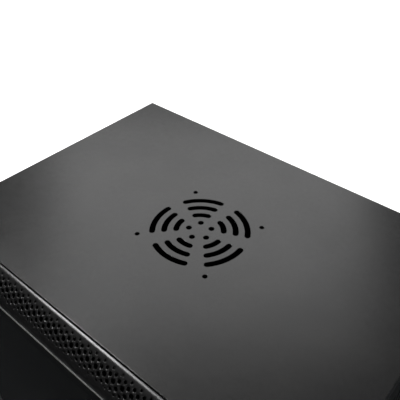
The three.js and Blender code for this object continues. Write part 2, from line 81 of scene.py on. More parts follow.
# Door
BORDER_RADIUS = 38.8 * MM
BORDER_SWEEP = math.radians(60)
DOOR_EDGE = 2.5 * MM  # rounding of the door's outer edges
DOOR_RETURN = 14 * MM  # width of the return round its back
TAB_THICKNESS = 3 * MM
TAB_CLEARANCE = 3 * MM  # above and below each hinge tab
TAB_GAP = 0.3 * MM  # between a hinge tab and its block
GLASS_LAND = 14 * MM
GLASS_MARGIN = 0.8 * MM
GLASS_SEAT = 1.1 * MM  # tape between the glass and its ledge
HOLE_PITCH = 12.1 * MM
HOLE_ROWS = (3.0, 6.5, 9.4, 13.3, 17.6, 21.3, 24.6)  # along the curve, in millimetres
HOLE_RADII = (1.4, 1.9, 2.3, 2.8, 2.5, 2.0, 1.5)
HOLE_SPAN = 232 * MM  # the perforation reaches this far each side of the middle
HOLE_SHIFT = 0.45 * MM  # sideways shift of every row

# Camera, matched to the photograph's angle
CAMERA_PLACE = (0.3117, -0.3467, 0.9292)
CAMERA_DOWN = 38.719
CAMERA_YAW = 40.884
CAMERA_ROLL = -0.06
CAMERA_LENS = 48.41


# --- node materials -------------------------------------------------------------------------------


class Shader:
    """A Principled material with helpers for the procedural detail around it."""

    def __init__(self, name, **settings):
        self.material = bpy.data.materials.new(name)
        self.material.use_nodes = True
        self.nodes = self.material.node_tree.nodes
        self.links = self.material.node_tree.links
        self.surface = self.nodes["Principled BSDF"]
        self.coords = self.nodes.new("ShaderNodeTexCoord").outputs["Object"]
        for socket, value in settings.items():
            self.surface.inputs[socket.replace("_", " ")].default_value = value

    def noise(self, scale, detail=3.0, roughness=0.5, stretch=None):
        """A noise in object space; scale is in features per metre."""
        node = self.nodes.new("ShaderNodeTexNoise")
        node.inputs["Scale"].default_value = scale
        node.inputs["Detail"].default_value = detail
        node.inputs["Roughness"].default_value = roughness
        coords = self.coords
        if stretch:
            mapping = self.nodes.new("ShaderNodeMapping")
            mapping.inputs["Scale"].default_value = stretch
            self.links.new(coords, mapping.inputs["Vector"])
            coords = mapping.outputs["Vector"]
        self.links.new(coords, node.inputs["Vector"])
        return node.outputs["Fac"]

    def spread(self, value, low, high, start=0.3, end=0.7):
        """Maps value from start..end to low..high."""
        node = self.nodes.new("ShaderNodeMapRange")
        node.inputs["From Min"].default_value = start
        node.inputs["From Max"].default_value = end
        node.inputs["To Min"].default_value = low
        node.inputs["To Max"].default_value = high
        self.links.new(value, node.inputs["Value"])
        return node.outputs["Result"]

    def add(self, first, second):
        node = self.nodes.new("ShaderNodeMath")
        node.operation = "ADD"
        self.links.new(first, node.inputs[0])
        self.links.new(second, node.inputs[1])
        return node.outputs["Value"]

    def blend(self, amount, first, second):
        """A colour between two given colours."""
        node = self.nodes.new("ShaderNodeMix")
        node.data_type = "RGBA"
        self.links.new(amount, node.inputs["Factor"])
        node.inputs[6].default_value = (*first, 1.0)
        node.inputs[7].default_value = (*second, 1.0)
        return node.outputs[2]

    def colour(self, value):
        self.links.new(value, self.surface.inputs["Base Color"])

    def roughness(self, value):
        self.links.new(value, self.surface.inputs["Roughness"])

    def bump(self, height, distance, strength=1.0, under=None):
        """A bump of the given height in metres; under is an earlier bump's result."""
        node = self.nodes.new("ShaderNodeBump")
        node.inputs["Distance"].default_value = distance
        node.inputs["Strength"].default_value = strength
        self.links.new(height, node.inputs["Height"])
        if under:
            self.links.new(under, node.inputs["Normal"])
        self.links.new(node.outputs["Normal"], self.surface.inputs["Normal"])
        return node.outputs["Normal"]


def powder_coat(name, dark, light, gloss_low, gloss_high, texture=0.012):
    """Satin black powder coat: fine orange peel, soft handling marks and a little tone variation.

    texture is the depth of the orange peel in millimetres.
    """
    shader = Shader(name, Specular_IOR_Level=0.5)
    shader.colour(shader.blend(shader.spread(shader.noise(14), 0, 1), dark, light))
    smudges = shader.spread(shader.noise(9, detail=5, roughness=0.6), gloss_low, gloss_high)
    grain = shader.spread(shader.noise(1500, detail=2), -0.02, 0.02)
    shader.roughness(shader.add(smudges, grain))
    waves = shader.bump(shader.noise(6, detail=1), 0.3 * MM, 0.3)
    shader.bump(shader.noise(900, detail=2), texture * MM, 1.0, under=waves)
    return shader.material


def smoked_glass():
    shader = Shader("smoked_glass", IOR=1.5, Transmission_Weight=0.92)
    tint = shader.spread(shader.noise(3, detail=1), 0, 1)
    shader.colour(shader.blend(tint, (0.006, 0.0064, 0.0058), (0.008, 0.0084, 0.0078)))
    shader.roughness(shader.spread(shader.noise(12, detail=4), 0.01, 0.04))
    return shader.material


def ground_glass():
    """The ground and polished edge of the pane."""
    shader = Shader("glass_edge", IOR=1.5)
    streaks = shader.noise(260, detail=3, stretch=(0.15, 1, 1))
    shader.colour(shader.blend(shader.spread(streaks, 0, 1), (0.02, 0.022, 0.02), (0.04, 0.043, 0.04)))
    shader.roughness(shader.spread(streaks, 0.28, 0.42))
    shader.bump(streaks, 0.01 * MM)
    return shader.material


def enamel():
    """The black fired border printed round the back of the pane."""
    shader = Shader("glass_enamel", IOR=1.5)
    speckle = shader.noise(700, detail=2)
    shader.colour(shader.blend(shader.spread(speckle, 0, 1), (0.006, 0.006, 0.006), (0.012, 0.012, 0.012)))
    shader.roughness(shader.spread(speckle, 0.5, 0.62))
    return shader.material


def zinc():
    shader = Shader("zinc_plate", Metallic=1.0)
    cloud = shader.noise(120, detail=4)
    shader.colour(shader.blend(shader.spread(cloud, 0, 1), (0.42, 0.43, 0.44), (0.6, 0.61, 0.62)))
    shader.roughness(shader.spread(shader.noise(340, detail=3), 0.26, 0.42))
    shader.bump(shader.noise(1400, detail=2), 0.006 * MM)
    return shader.material


def chrome():
    shader = Shader("lock_chrome", Metallic=1.0)
    cloud = shader.noise(60, detail=3)
    shader.colour(shader.blend(shader.spread(cloud, 0, 1), (0.62, 0.62, 0.63), (0.7, 0.7, 0.71)))
    shader.roughness(shader.spread(shader.noise(420, detail=4), 0.07, 0.16))
    shader.bump(shader.noise(800, detail=2), 0.002 * MM)
    return shader.material


def brushed_plug():
    """The turned face of a lock's plug."""
    shader = Shader("lock_plug_face", Metallic=1.0)
    rings = shader.noise(500, detail=3)
    shader.colour(shader.blend(shader.spread(rings, 0, 1), (0.48, 0.47, 0.45), (0.62, 0.61, 0.59)))
    shader.roughness(shader.spread(rings, 0.22, 0.34))
    shader.bump(rings, 0.008 * MM)
    return shader.material


def rubber(name, dark, light):
    shader = Shader(name, Specular_IOR_Level=0.35)
    dust = shader.noise(90, detail=4)
    shader.colour(shader.blend(shader.spread(dust, 0, 1), dark, light))
    shader.roughness(shader.spread(dust, 0.78, 0.92))
    shader.bump(shader.noise(1100, detail=2), 0.03 * MM)
    return shader.material


def floor_paint():
    shader = Shader("studio_floor", Specular_IOR_Level=0.0)
    tone = shader.noise(2, detail=2)
    shader.colour(shader.blend(shader.spread(tone, 0, 1), (0.93, 0.93, 0.93), (0.95, 0.95, 0.95)))
    shader.roughness(shader.spread(tone, 0.9, 0.95))
    return shader.material


PAINT = powder_coat("powder_coat", (0.0052, 0.0052, 0.0053), (0.0068, 0.0067, 0.0065), 0.25, 0.3)
DOOR_PAINT = powder_coat("door_powder_coat", (0.0064, 0.0063, 0.0066), (0.0078, 0.0077, 0.0076), 0.28, 0.33)
# the real paint of the inner parts, also used as painted shade in the lock plugs' keyways
INNER_PAINT_AND_KEYWAY_SHADE = powder_coat(
    "inner_powder_coat_and_keyway_shade", (0.018, 0.018, 0.019), (0.023, 0.0228, 0.0226), 0.38, 0.48, texture=0.02
)
GLASS = smoked_glass()
GLASS_EDGE = ground_glass()
ENAMEL = enamel()
ZINC = zinc()
CHROME = chrome()
PLUG_FACE = brushed_plug()
TAPE = rubber("bonding_tape", (0.01, 0.01, 0.01), (0.016, 0.016, 0.016))
BUMPER = rubber("bumper_rubber", (0.012, 0.012, 0.012), (0.022, 0.021, 0.02))
TRIM = rubber("edge_trim", (0.01, 0.01, 0.01), (0.02, 0.019, 0.019))
FLOOR = floor_paint()


# --- sheet-metal building blocks --------------------------------------------------------------------


def steps(count):
    """count + 1 even fractions from 0 to 1."""
    return [i / count for i in range(count + 1)]


def circle(u, v, radius, sides=20):
    return [
        (u + radius * math.cos(2 * math.pi * i / sides), v + radius * math.sin(2 * math.pi * i / sides))
        for i in range(sides)
    ]


def arc_points(u, v, radius, start, end, count):
    return [
        (u + radius * math.cos(start + (end - start) * f), v + radius * math.sin(start + (end - start) * f))
        for f in steps(count)
    ]


def arc_slot(radius, half_angle, direction, width):
    """A curved slot with round ends, bending round (0, 0)."""
    start = math.radians(direction - half_angle)
    end = math.radians(direction + half_angle)
    half = width / 2
    outer = arc_points(0, 0, radius + half, start, end, 14)
    far = arc_points(radius * math.cos(end), radius * math.sin(end), half, end, end + math.pi, 8)
    inner = arc_points(0, 0, radius - half, end, start, 12)
    near_centre = (radius * math.cos(start), radius * math.sin(start))
    near = arc_points(*near_centre, half, start + math.pi, start + 2 * math.pi, 8)
    return outer + far[1:] + inner[1:] + near[1:-1]


def upright_slot(u, v, length, width):
    half = width / 2
    reach = length / 2 - half
    upper = arc_points(u, v + reach, half, 0, math.pi, 8)
    lower = arc_points(u, v - reach, half, math.pi, 2 * math.pi, 8)
    return upper + lower


def rectangle(u0, u1, v0, v1):
    return [(u0, v0), (u1, v0), (u1, v1), (u0, v1)]


def shifted(points, du, dv):
    return [(u + du, v + dv) for u, v in points]


def rounded_rectangle(u0, u1, v0, v1, inset, radius, count=4):
    """A rectangle drawn in by inset, its corners rounded; radius 0 puts every corner point on the corner."""
    loop = []
    corners = ((u1, v1, 0), (u0, v1, 90), (u0, v0, 180), (u1, v0, 270))
    for u, v, start in corners:
        centre_u = u - math.copysign(inset + radius, u - (u0 + u1) / 2)
        centre_v = v - math.copysign(inset + radius, v - (v0 + v1) / 2)
        turn = math.radians(start)
        loop += arc_points(centre_u, centre_v, radius, turn, turn + math.pi / 2, count)
    return loop


class Sheet:
    """Gathers the faces of one piece of folded sheet, then makes an object of them."""

    def __init__(self):
        self.bm = bmesh.new()

    def face(self, points, material=0):
        unique = [p for i, p in enumerate(points) if (Vector(p) - Vector(points[i - 1])).length > 1e-6]
        if len(unique) > 2:
            face = self.bm.faces.new([self.bm.verts.new(p) for p in unique])
            face.material_index = material

    def band(self, first, second, material=0):
        """Quads between two closed loops with the same number of points."""
        for i in range(len(first)):
            self.face((first[i - 1], first[i], second[i], second[i - 1]), material)

    def strip(self, first, second, material=0):
        """Quads between two open rows with the same number of points."""
        for i in range(1, len(first)):
            self.face((first[i - 1], first[i], second[i], second[i - 1]), material)

    def fill(self, outline, holes, place, extra=(), material=0):
        """A flat layout with holes, cut into triangles; place puts a point of the layout in space."""
        points = []
        loops = []
        for loop in (outline, *holes):
            loops.append(list(range(len(points), len(points) + len(loop))))
            points += loop
        points += extra
        flat = [Vector(p) for p in points]
        verts, _, faces, _, _, sources = delaunay_2d_cdt(flat, [], loops, 0, 1e-7, True)
        for corners, source in zip(faces, sources):
            if source == [0]:
                self.face([place(*verts[i]) for i in corners], material)

    def make(self, name, materials, outward, thickness=SHEET, angle=32, rim=None):
        """outward points away from the sheet's outer face at its farthest point that way."""
        bm = self.bm
        bmesh.ops.remove_doubles(bm, verts=bm.verts, dist=2e-6)
        bmesh.ops.recalc_face_normals(bm, faces=bm.faces)
        direction = Vector(outward)
        farthest = max(bm.faces, key=lambda f: f.calc_center_median().dot(direction) + f.calc_area())
        if farthest.normal.dot(direction) < 0:
            bmesh.ops.reverse_faces(bm, faces=bm.faces)
        obj = object_from(bm, name, materials, angle)
        if thickness:
            shell = obj.modifiers.new("thickness", "SOLIDIFY")
            shell.thickness = thickness
            shell.offset = -1
            shell.use_even_offset = True
        if rim:
            edge = obj.modifiers.new("rim", "BEVEL")
            edge.width = rim
            edge.segments = 2
            edge.limit_method = "ANGLE"
            edge.angle_limit = math.radians(60)
            edge.use_clamp_overlap = False
        normals = obj.modifiers.new("normals", "WEIGHTED_NORMAL")
        normals.weight = 100
        normals.keep_sharp = True
        return obj


def object_from(bm, name, materials, angle=32):
    mesh = bpy.data.meshes.new(name)
    bm.to_mesh(mesh)
    bm.free()
    for material in materials:
        mesh.materials.append(material)
    mesh.shade_smooth()
    mesh.set_sharp_from_angle(angle=math.radians(angle))
    obj = bpy.data.objects.new(name, mesh)
    bpy.context.collection.objects.link(obj)
    return obj


def folded_tray(width, depth, fold, holes, notch=None):
    """A plate with its four edges folded back, centred on the layout's origin, its face at height 0.

    notch is where a gap in the fold along the +v edge starts and ends.
    """
    sheet = Sheet()
    u, v = width / 2, depth / 2

    def place(x, y, drop=0.0):
        return (x, y, -drop)

    def loop(inset, radius, drop):
        return [place(x, y, drop) for x, y in rounded_rectangle(-u, u, -v, v, inset, radius)]

    face = rectangle(BEND - u, u - BEND, BEND - v, v - BEND)
    sheet.fill(face, holes, place)
    turns = [f * math.pi / 2 for f in steps(6)]
    loops = [loop(BEND * (1 - math.sin(t)), BEND * math.sin(t), BEND * (1 - math.cos(t))) for t in turns]
    for first, second in zip(loops, loops[1:]):
        sheet.band(first, second)
    upper, lower = loops[-1], loop(0, BEND, fold)
    corner = len(upper) // 4  # first point of the second corner, past the +v edge
    for i in range(len(upper)):
        gap = ()
        if notch and i == corner:
            start, end = max(notch), min(notch)
            top = BEND + SHEET
            gap = (place(start, v, fold), place(start, v, top), place(end, v, top), place(end, v, fold))
        sheet.face((upper[i], upper[i - 1], lower[i - 1], *gap, lower[i]))
    return sheet


def lathe(name, profile, materials, place, sides=48):
    """A turned piece: profile is (radius, height, material) from its front to its back."""
    bm = bmesh.new()
    rings = []
    for radius, height, _ in profile:
        if radius == 0:
            rings.append([bm.verts.new((0, 0, height))] * sides)
        else:
            rings.append([bm.verts.new((x, y, height)) for x, y in circle(0, 0, radius, sides)])
    for (first, second), (_, _, material) in zip(zip(rings, rings[1:]), profile[1:]):
        for i in range(sides):
            corners = dict.fromkeys((first[i - 1], first[i], second[i], second[i - 1]))
            face = bm.faces.new(list(corners))
            face.material_index = material
    bmesh.ops.recalc_face_normals(bm, faces=bm.faces)
    obj = object_from(bm, name, materials)
    obj.matrix_world = place
    return obj


def centre_of(node):
    low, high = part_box(node)
    return (Vector(low) + Vector(high)) / 2


# --- body pieces ------------------------------------------------------------------------------------


def vent_holes():
    """The fan vent's slots and holes, centred on (0, 0)."""
    holes = []
    for sector in range(VENT_SECTORS):
        direction = -90 + sector * 360 / VENT_SECTORS
        for radius, half_angle in VENT_RINGS:
            holes.append(arc_slot(radius, half_angle, direction, VENT_SLOT))
        turn = math.radians(direction)
        place = (VENT_CENTRE_RADIUS * math.cos(turn), VENT_CENTRE_RADIUS * math.sin(turn))
        holes.append(circle(*place, VENT_SLOT / 2))
    for u in (-FAN_HOLE_OFFSET, FAN_HOLE_OFFSET):
        for v in (-FAN_HOLE_OFFSET, FAN_HOLE_OFFSET):
            holes.append(circle(u, v, FAN_HOLE_RADIUS))
    return holes


def top_panel():
    low, high = (Vector(corner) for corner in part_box("top_panel"))
    size = high - low
    middle = (low.y + high.y) / 2
    holes = [shifted(hole, 0, VENT_Y - middle) for hole in vent_holes()]
    sheet = folded_tray(size.x, size.y, TRAY_DEPTH, holes)
    obj = sheet.make("top_panel_skin", [PAINT], (0, 0, 1), rim=RIM)
    obj.location = (0, middle, high.z)
    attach(obj, "cabinet")
    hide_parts("top_panel")


def bottom_panel():
    low, high = (Vector(corner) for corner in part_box("bottom_panel"))
    size = high - low
    middle = (low.y + high.y) / 2
    # the tray is turned over about X, so the layout's v runs towards the front
    half, front, back = FLOOR_ENTRY
    entry = rectangle(-half, half, middle - back, middle - front)
    sheet = folded_tray(size.x, size.y, TRAY_DEPTH, [entry])
    obj = sheet.make("bottom_panel_skin", [PAINT], (0, 0, 1), rim=RIM)
    obj.location = (0, middle, low.z)
    obj.rotation_euler = (math.pi, 0, 0)
    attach(obj, "cabinet")
    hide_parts("bottom_panel")


def side_panel(hand, side):
    low, high = (Vector(corner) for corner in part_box(f"side_panel_{hand}"))
    size = high - low
    centre = (low + high) / 2
    lock = centre_of(f"side_lock_{hand}_housing")
    # layout: u runs along Y and v along Z
    lock_u, lock_v = lock.y - centre.y, lock.z - centre.z
    slot_v = high.z - SLOT_DROP - centre.z
    holes = [
        upright_slot(lock_u + (i - (SLOT_COUNT - 1) / 2) * SLOT_PITCH, slot_v, SLOT_LENGTH, SLOT_WIDTH)
        for i in range(SLOT_COUNT)
    ]
    holes.append(circle(lock_u, lock_v, LOCK_HOLE, 32))
    sheet = folded_tray(size.y, size.z, SIDE_FOLD, holes, [lock_u + end for end in CAM_GAP])
    obj = sheet.make(f"side_panel_{hand}_skin", [PAINT], (0, 0, 1), rim=RIM)
    if side < 0:
        obj.data.transform(Matrix.Scale(-1, 4, (1, 0, 0)))
        obj.data.flip_normals()
    basis = Matrix(((0, side, 0), (0, 0, 1), (side, 0, 0))).transposed().to_4x4()
    obj.matrix_world = Matrix.Translation((high.x if side > 0 else low.x, centre.y, centre.z)) @ basis
    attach(obj, f"side_{hand}")
    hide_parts(f"side_panel_{hand}")


def edge_trim():
    """The rubber profile pushed on to the rim of the back cable entry."""
    _, back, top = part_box("back_panel")[1]
    half, low, high = BACK_ENTRY
    corner = 4 * MM  # radius of the trim's corners
    outer = 4.5 * MM  # how far it covers the panel round the entry
    front = back - SHEET - 1.2 * MM
    rear = back - 0.05 * MM
    profile = (
        (-outer, rear - 0.1 * MM), (-outer + 0.6 * MM, rear), (0.0, rear), (0.8 * MM, rear - 0.5 * MM),
        (1.0 * MM, (rear + front) / 2), (0.8 * MM, front + 0.4 * MM), (0.0, front),
        (-outer + 0.6 * MM, front), (-outer, front + 0.3 * MM),
    )
    loops = []
    for inset, y in profile:
        loop = rounded_rectangle(-half, half, top - low, top - high, inset, corner - inset, 6)
        loops.append([(u, y, v) for u, v in loop])
    sheet = Sheet()
    for first, second in zip(loops, loops[1:] + loops[:1]):
        sheet.band(first, second)
    obj = sheet.make("back_entry_trim", [TRIM], (0, 1, 0), thickness=None, angle=50)
    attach(obj, "cabinet")


def pan_screw(name, place, body):
    """A small pan-head screw with a cross recess, its underside at the origin and its head along +Z."""
    bm = bmesh.new()
    sides = 24
    crown = 1.5
    profile = ((3.2, 0.0), (3.2, 0.5), (2.9, 1.1), (2.2, crown))  # radius and height, in millimetres
    rings = [[bm.verts.new((x * MM, y * MM, h * MM)) for x, y in circle(0, 0, r, sides)] for r, h in profile]
    for first, second in zip(rings, rings[1:]):
        for i in range(sides):
            bm.faces.new((first[i - 1], first[i], second[i], second[i - 1]))
    half, arm, floor = 0.35, 1.4, crown - 0.7
    cross = [
        (half, half), (half, arm), (-half, arm), (-half, half), (-arm, half), (-arm, -half),
        (-half, -half), (-half, -arm), (half, -arm), (half, -half), (arm, -half), (arm, half),
    ]
    flat = [Vector(p) for p in circle(0, 0, profile[-1][0], sides) + cross]
    loops = [list(range(sides)), list(range(sides, len(flat)))]
    verts, _, faces, _, _, sources = delaunay_2d_cdt(flat, [], loops, 0, 1e-7, True)
    for corners, source in zip(faces, sources):
        height = crown if source == [0] else floor
        bm.faces.new([bm.verts.new((verts[i].x * MM, verts[i].y * MM, height * MM)) for i in corners])
    for (ax, ay), (bx, by) in zip(cross[-1:] + cross[:-1], cross):
        wall = ((ax, ay, crown), (bx, by, crown), (bx, by, floor), (ax, ay, floor))
        bm.faces.new([bm.verts.new(Vector(p) * MM) for p in wall])
    bm.faces.new(list(reversed(rings[0])))
    bmesh.ops.remove_doubles(bm, verts=bm.verts, dist=2e-6)
    bmesh.ops.recalc_face_normals(bm, faces=bm.faces)
    obj = object_from(bm, name, [ZINC])
    obj.matrix_world = place
    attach(obj, body)


def back_screws():
    """Screws that hold the back panel's folded sides, three to a side."""
    low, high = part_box("back_panel")
    y = high[1] - 7 * MM
    levels = {"lower": 40 * MM, "middle": (low[2] + high[2]) / 2, "upper": high[2] - 22 * MM}
    for side, hand in ((-1, "left"), (1, "right")):
        for level, z in levels.items():
            turn = Euler((0, side * math.pi / 2, 0)).to_matrix().to_4x4()
            place = Matrix.Translation((side * (abs(high[0]) + 0.02 * MM), y, z)) @ turn
            pan_screw(f"back_screw_{level}_{hand}", place, "cabinet")


# --- door -------------------------------------------------------------------------------------------


class DoorProfile:
    """The door's front from its top edge to its bottom edge, measured along the curve."""

    def __init__(self):
        low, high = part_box("door_frame")
        self.front = low[1]
        self.back = high[1]
        self.top = high[2]
        self.bottom = low[2]
        centre_y = self.front + BORDER_RADIUS
        edge_y = centre_y - BORDER_RADIUS * math.cos(BORDER_SWEEP)
        tilt = math.pi / 2 - BORDER_SWEEP  # slope of the curve's first stretch
        radius = (self.back - edge_y) / math.sin(tilt)
        shoulder_z = self.top - radius
        rise = BORDER_RADIUS * math.sin(BORDER_SWEEP)
        self.arc_top = shoulder_z + radius * math.cos(tilt) - rise  # height where the curve turns upright
        path = arc_points(self.back, shoulder_z, radius, math.pi / 2, math.pi / 2 + tilt, 8)
        shoulder_end = len(path) - 1
        for f in steps(24)[1:]:
            angle = math.pi - BORDER_SWEEP * (1 - f)
            z = self.arc_top + BORDER_RADIUS * math.sin(angle)
            path.append((centre_y + BORDER_RADIUS * math.cos(angle), z))
        mirrored = [(y, self.top + self.bottom - z) for y, z in reversed(path)]
        self.path = path + mirrored
        self.lengths = [0.0]
        for (y0, z0), (y1, z1) in zip(self.path, self.path[1:]):
            self.lengths.append(self.lengths[-1] + math.hypot(y1 - y0, z1 - z0))
        self.total = self.lengths[-1]
        self.arc_start = self.lengths[shoulder_end]
        self.arc_end = self.lengths[len(path) - 1]
        self.normals = self.path_normals()

    def path_normals(self):
        """The outward normal, as (y, z), at each point of the path."""
        normals = []
        for i in range(len(self.path)):
            y0, z0 = self.path[max(i - 1, 0)]
            y1, z1 = self.path[min(i + 1, len(self.path) - 1)]
            length = math.hypot(y1 - y0, z1 - z0)
            normals.append(((z1 - z0) / length, -(y1 - y0) / length))
        return normals

    def at(self, s, depth=0.0):
        """(y, z) at length s, set back by depth from the outer face."""
        s = min(max(s, 0.0), self.total)
        i = 1
        while i < len(self.lengths) - 1 and self.lengths[i] < s - 1e-9:
            i += 1
        f = (s - self.lengths[i - 1]) / (self.lengths[i] - self.lengths[i - 1])
        (y0, z0), (y1, z1) = self.path[i - 1], self.path[i]
        (ny0, nz0), (ny1, nz1) = self.normals[i - 1], self.normals[i]
        ny, nz = ny0 + (ny1 - ny0) * f, nz0 + (nz1 - nz0) * f
        length = math.hypot(ny, nz)
        y = y0 + (y1 - y0) * f - depth * ny / length
        z = z0 + (z1 - z0) * f - depth * nz / length
        return y, z


def hole_rows(profile):
    """(curve length, sideways shift, radius) of each row of holes on both curved borders."""
    rows = []
    for start, way in ((profile.arc_start, 1), (profile.total - profile.arc_start, -1)):
        for row, (offset, radius) in enumerate(zip(HOLE_ROWS, HOLE_RADII)):
            shift = HOLE_SHIFT + (HOLE_PITCH / 2 if row % 2 else 0)
            rows.append((start + way * offset * MM, shift, radius * MM))
    return rows


def perforation(rows):
    """Hole outlines in the door's flat layout of x and curve length."""
    holes = []
    for s, shift, radius in rows:
        first = math.ceil((-HOLE_SPAN - shift) / HOLE_PITCH)
        last = math.floor((HOLE_SPAN - shift) / HOLE_PITCH)
        holes += [circle(shift + i * HOLE_PITCH, s, radius, 16) for i in range(first, last + 1)]
    return holes


def clear_of_holes(x, s, rows):
    """Whether a layout point lies in solid sheet, a little way from every hole."""
    margin = 0.6 * MM
    for row_s, shift, radius in rows:
        across = (x - shift + HOLE_PITCH / 2) % HOLE_PITCH - HOLE_PITCH / 2
        if math.hypot(across, s - row_s) < radius + margin:
            return False
    return True


def door_skin():
    """The door's sheet: its curved face, side walls and the ledge that the glass sits on."""
    profile = DoorProfile()
    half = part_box("door_frame")[1][0]
    edge = half - DOOR_EDGE
    sheet = Sheet()

    def place(x, s, depth=0.0):
        y, z = profile.at(s, depth)
        return (x, min(y, profile.back), z)

    glass_low, glass_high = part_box("glass_pane")
    rebate_x = glass_high[0] + GLASS_MARGIN
    side_lengths = profile.lengths
    outline = [(edge, s) for s in side_lengths] + [(-edge, s) for s in reversed(side_lengths)]
    rebate = rectangle(-rebate_x, rebate_x, profile.arc_end, profile.total - profile.arc_end)
    lock = centre_of("door_lock_housing")
    lock_s = profile.arc_end + (profile.arc_top - lock.z)
    lock_hole = circle(lock.x, lock_s, LOCK_HOLE, 32)
    rows = hole_rows(profile)

    # points between the holes, so that the flat layout follows the curve
    step = HOLE_PITCH / 4
    reach = int(edge // step)
    extra = []
    for s in side_lengths[1:-1]:
        beside_glass = profile.arc_end - 1e-5 < s < profile.total - profile.arc_end + 1e-5
        for i in range(-reach, reach + 1):
            x = i * step
            if abs(x) < edge - 1 * MM and clear_of_holes(x, s, rows):
                if not (beside_glass and abs(x) < rebate_x + 1 * MM):
                    extra.append((x, s))
    sheet.fill(outline, [rebate, lock_hole, *perforation(rows)], place, extra)

    # rounded vertical edges and the flat side walls
    for side in (-1, 1):
        columns = []
        for f in steps(5):
            turn = f * math.pi / 2
            x = side * (edge + DOOR_EDGE * math.sin(turn))
            depth = DOOR_EDGE * (1 - math.cos(turn))
            columns.append([place(x, s, depth) for s in side_lengths])
        for first, second in zip(columns, columns[1:]):
            sheet.strip(first, second)
        wall = side_wall(columns[-1], profile, hinge_notches() if side < 0 else [])
        sheet.fill(wall, [], lambda y, z, at=side * half: (at, y, z))

    # ledge for the glass
    land = glass_high[1] + GLASS_SEAT
    z0, z1 = profile.at(profile.total - profile.arc_end)[1], profile.at(profile.arc_end)[1]
    mouth = rectangle(-rebate_x, rebate_x, z0, z1)
    window_x = glass_high[0] - GLASS_LAND
    window = rectangle(-window_x, window_x, glass_low[2] + GLASS_LAND, glass_high[2] - GLASS_LAND)
    sheet.band([(x, profile.front, z) for x, z in mouth], [(x, land, z) for x, z in mouth])
    sheet.band([(x, land, z) for x, z in mouth], [(x, land, z) for x, z in window])
    obj = sheet.make("door_skin", [DOOR_PAINT], (0, -1, 0))
    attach(obj, "door")
    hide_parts("door_frame")
    door_flange(profile, half)


def side_wall(front_edge, profile, notches):
    """Outline in y and z of a side wall, from its front edge's points and the heights of its notches."""
    wall = [(y, z) for _, y, z in front_edge]
    upper = wall[0][1]
    wall.append((profile.back, wall[-1][1]))
    reach = profile.front + 1.01 * DOOR_EDGE  # the notches end just behind the rounded edge
    for z0, z1 in notches:
        wall += [(profile.back, z0), (reach, z0), (reach, z1), (profile.back, z1)]
    wall.append((profile.back, upper))
    return [p for i, p in enumerate(wall) if math.dist(p, wall[i - 1]) > 1e-6]


def hinge_notches():
    """Heights of the two notches for the hinge tabs, which lie just outside the hinge blocks."""
    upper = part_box("hinge_block_upper")[1][2] + TAB_GAP
    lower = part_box("hinge_block_lower")[0][2] - TAB_GAP
    outer = TAB_THICKNESS + TAB_CLEARANCE
    return [(lower - outer, lower + TAB_CLEARANCE), (upper - TAB_CLEARANCE, upper + outer)]


def door_flange(profile, half):
    """The folded return round the back of the door."""
    inset = SHEET + 0.2 * MM
    u = half - inset
    v0 = profile.bottom + 1.2 * MM + inset
    v1 = profile.top - 1.2 * MM - inset
    inner_u = half - DOOR_RETURN
    inner_v0, inner_v1 = profile.bottom + DOOR_RETURN, profile.top - DOOR_RETURN
    left = [(-u, v1)]
    for z0, z1 in reversed(hinge_notches()):
        left += [(-u, z1), (-inner_u, z1), (-inner_u, z0), (-u, z0)]
    left.append((-u, v0))
    outline = [(u, v0), (u, v1), *left]

    # the window has a notch for the lock, and stops just short of the hinge notches
    lock = centre_of("door_lock_housing")
    reach = 9.5 * MM
    notch = [(inner_u, lock.z - reach), (lock.x + reach, lock.z - reach), (lock.x + reach, lock.z + reach)]
    near_hinges = 0.4 * MM - inner_u
    window = [(near_hinges, inner_v0), (inner_u, inner_v0), *notch, (inner_u, lock.z + reach)]
    window += [(inner_u, inner_v1), (near_hinges, inner_v1)]
    sheet = Sheet()
    sheet.fill(outline, [window], lambda x, z: (x, profile.back, z))
    obj = sheet.make("door_return", [DOOR_PAINT], (0, 1, 0), thickness=SHEET, rim=0.2 * MM)
    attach(obj, "door")


def glass():
    """The pane: polished faces, a ground chamfered edge and a fired border on its back."""
    low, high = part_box("glass_pane")
    x1, z0, z1 = high[0], low[2], high[2]
    front, back = low[1], high[1]
    chamfer = 0.4 * MM
    border = 18 * MM
    sheet = Sheet()

    def loop(inset, y, radius=3 * MM):
        return [(x, y, z) for x, z in rounded_rectangle(-x1, x1, z0, z1, inset, radius - min(inset, radius))]

    face = loop(chamfer, front)
    front_rim = loop(0, front + chamfer)
    back_rim = loop(0, back - chamfer)
    far = loop(chamfer, back)
    printed = loop(border, back)
    sheet.face(list(reversed(face)), 0)
    sheet.band(face, front_rim, 1)
    sheet.band(front_rim, back_rim, 1)
    sheet.band(back_rim, far, 1)
    sheet.band(far, printed, 2)
    sheet.face(printed, 0)
    obj = sheet.make("glass_door_pane", [GLASS, GLASS_EDGE, ENAMEL], (0, -1, 0), thickness=None)
    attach(obj, "door")
    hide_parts("glass_pane")


# --- locks ------------------------------------------------------------------------------------------


